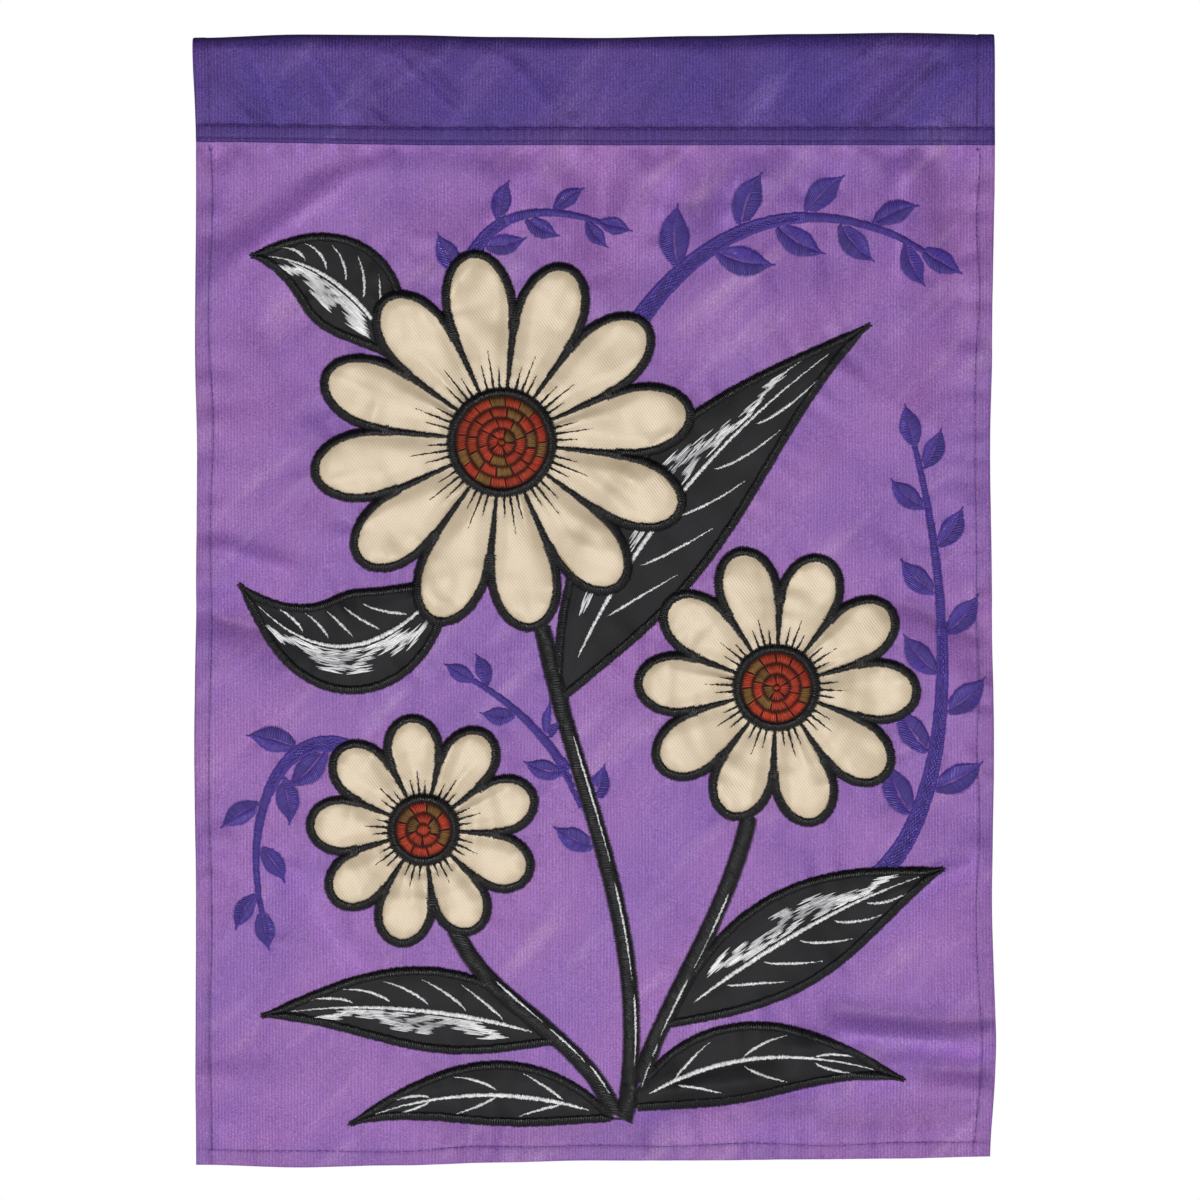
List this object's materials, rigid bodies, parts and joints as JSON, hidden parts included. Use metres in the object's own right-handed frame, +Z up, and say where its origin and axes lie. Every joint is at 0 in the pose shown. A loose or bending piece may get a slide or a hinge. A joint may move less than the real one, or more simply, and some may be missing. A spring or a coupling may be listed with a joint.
{
  "type": "garden flag",
  "caption": "Small hanging garden flag: a hemmed violet cloth panel with a pole sleeve across its top and an applique of daisies, leaves and embroidered sprigs.",
  "frame": {"origin": "the middle of the pole's axis in the sleeve, halfway across the flag", "axes": "+X to the right along the pole, +Z up, and the decorated front faces -Y"},
  "size_m": [0.3275, 0.0124, 0.4633],
  "materials": {
    "panel_cloth": "satin-faced fine ribbed polyester, violet",
    "sleeve_cloth": "the same cloth in darker indigo violet",
    "petal_cloth": "soft beige satin, puckered by its stitching",
    "disc_thread": "rust embroidery thread in dense satin blocks",
    "leaf_cloth": "matt black ribbed cloth with a satin-stitched edge",
    "violet_thread": "deep violet embroidery thread, satin stitch",
    "black_thread": "black embroidery thread, satin stitch",
    "white_thread": "white embroidery thread, satin and brushed stitch",
    "seam_thread": "dark violet sewing thread"
  },
  "bodies": {
    "root": {"panel": "panel_cloth", "pole_sleeve": "sleeve_cloth", "flower_a": "petal_cloth", "flower_b": "petal_cloth", "flower_c": "petal_cloth", "disc_a": "disc_thread", "disc_b": "disc_thread", "disc_c": "disc_thread", "stems": "black_thread", "leaf_1": "leaf_cloth", "leaf_2": "leaf_cloth", "leaf_3": "leaf_cloth", "leaf_4": "leaf_cloth", "leaf_5": "leaf_cloth", "leaf_6": "leaf_cloth", "leaf_7": "leaf_cloth", "sprig_1": "violet_thread", "sprig_2": "violet_thread", "sprig_3": "violet_thread", "sprig_4": "violet_thread", "sprig_5": "violet_thread"}
  },
  "joints": []
}
